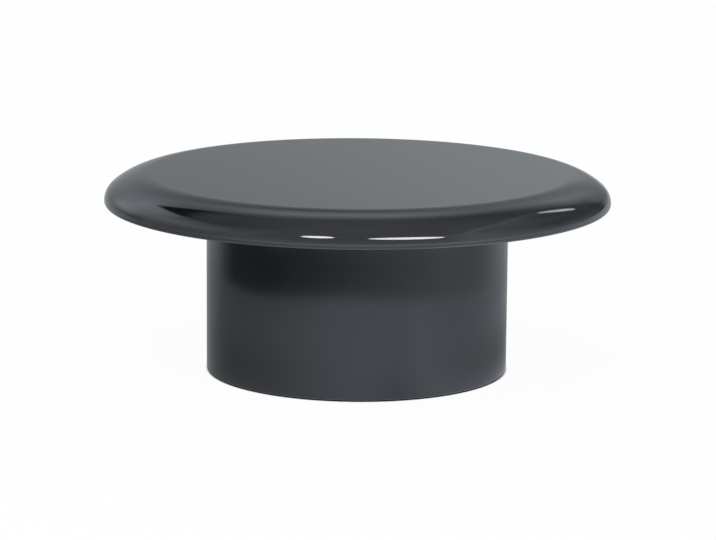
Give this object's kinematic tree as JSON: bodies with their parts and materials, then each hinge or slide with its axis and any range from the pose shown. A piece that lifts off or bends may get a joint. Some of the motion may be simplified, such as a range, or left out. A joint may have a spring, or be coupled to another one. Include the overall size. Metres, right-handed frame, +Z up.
{
  "type": "round cocktail table",
  "caption": "Low round cocktail table: a thick gloss-lacquered top with a soft rolled edge on a plain drum base, standing on a ring with screw-out levelling glides.",
  "frame": {"origin": "centre of the drum's footprint, on the floor", "axes": "+Z up along the axis of the drum; the pictured side is seen looking along +Y, with +X to the right"},
  "size_m": [1.0669, 1.067, 0.422],
  "materials": {
    "charcoal_lacquer": "gloss",
    "core_board": "matte",
    "birch_plywood": "matte",
    "planed_softwood": "matte",
    "beech": "satin",
    "zinc_steel": "satin",
    "black_nylon": "matte"
  },
  "bodies": {
    "table": {"top_panel": "charcoal_lacquer", "under_panel": "charcoal_lacquer", "drum_skin": "charcoal_lacquer", "rim_segment_1": "charcoal_lacquer", "rim_segment_2": "charcoal_lacquer", "rim_segment_3": "charcoal_lacquer", "rim_segment_4": "charcoal_lacquer", "rim_segment_5": "charcoal_lacquer", "rim_segment_6": "charcoal_lacquer", "rim_segment_7": "charcoal_lacquer", "rim_segment_8": "charcoal_lacquer", "fixing_ring": "core_board", "cross_rib_lower": "core_board", "cross_rib_upper": "core_board", "core_rib_1": "core_board", "core_rib_2": "core_board", "core_rib_3": "core_board", "core_rib_4": "core_board", "core_rib_5": "core_board", "core_rib_6": "core_board", "core_rib_7": "core_board", "core_rib_8": "core_board", "drum_wall": "birch_plywood", "drum_top_plate": "birch_plywood", "drum_mid_ring": "birch_plywood", "drum_bottom_ring": "birch_plywood", "post_1": "planed_softwood", "post_2": "planed_softwood", "post_3": "planed_softwood", "post_4": "planed_softwood", "rim_splines": "beech", "locating_dowels": "beech", "upper_screws": "zinc_steel", "lower_screws": "zinc_steel", "top_bolts": "zinc_steel", "bolt_washers": "zinc_steel", "threaded_inserts": "zinc_steel", "tee_nuts": "zinc_steel"},
    "foot_1": {"leveller_pad_1": "black_nylon"},
    "foot_2": {"leveller_pad_2": "black_nylon"},
    "foot_3": {"leveller_pad_3": "black_nylon"},
    "foot_4": {"leveller_pad_4": "black_nylon"},
    "stem_1": {"leveller_stem_1": "zinc_steel"},
    "stem_2": {"leveller_stem_2": "zinc_steel"},
    "stem_3": {"leveller_stem_3": "zinc_steel"},
    "stem_4": {"leveller_stem_4": "zinc_steel"}
  },
  "joints": [
    {"name": "leveller_1_rise", "type": "slide", "parent": "table", "child": "foot_1", "axis": [0, 0, -1], "range_m": [0, 0.009]},
    {"name": "leveller_1_turn", "type": "hinge", "parent": "foot_1", "child": "stem_1", "pos_m": [0.2653, 0, 0], "axis": [0, 0, -1], "range_deg": [0, 2196]},
    {"name": "leveller_2_rise", "type": "slide", "parent": "table", "child": "foot_2", "axis": [0, 0, -1], "range_m": [0, 0.009]},
    {"name": "leveller_2_turn", "type": "hinge", "parent": "foot_2", "child": "stem_2", "pos_m": [0, 0.2653, 0], "axis": [0, 0, -1], "range_deg": [0, 2196]},
    {"name": "leveller_3_rise", "type": "slide", "parent": "table", "child": "foot_3", "axis": [0, 0, -1], "range_m": [0, 0.009]},
    {"name": "leveller_3_turn", "type": "hinge", "parent": "foot_3", "child": "stem_3", "pos_m": [-0.2653, 0, 0], "axis": [0, 0, -1], "range_deg": [0, 2196]},
    {"name": "leveller_4_rise", "type": "slide", "parent": "table", "child": "foot_4", "axis": [0, 0, -1], "range_m": [0, 0.009]},
    {"name": "leveller_4_turn", "type": "hinge", "parent": "foot_4", "child": "stem_4", "pos_m": [0, -0.2653, 0], "axis": [0, 0, -1], "range_deg": [0, 2196]}
  ],
  "couplings": [
    {"joint": "leveller_1_turn", "follows": "leveller_1_rise", "rad_per_m": 4188.8},
    {"joint": "leveller_2_turn", "follows": "leveller_2_rise", "rad_per_m": 4188.8},
    {"joint": "leveller_3_turn", "follows": "leveller_3_rise", "rad_per_m": 4188.8},
    {"joint": "leveller_4_turn", "follows": "leveller_4_rise", "rad_per_m": 4188.8}
  ]
}
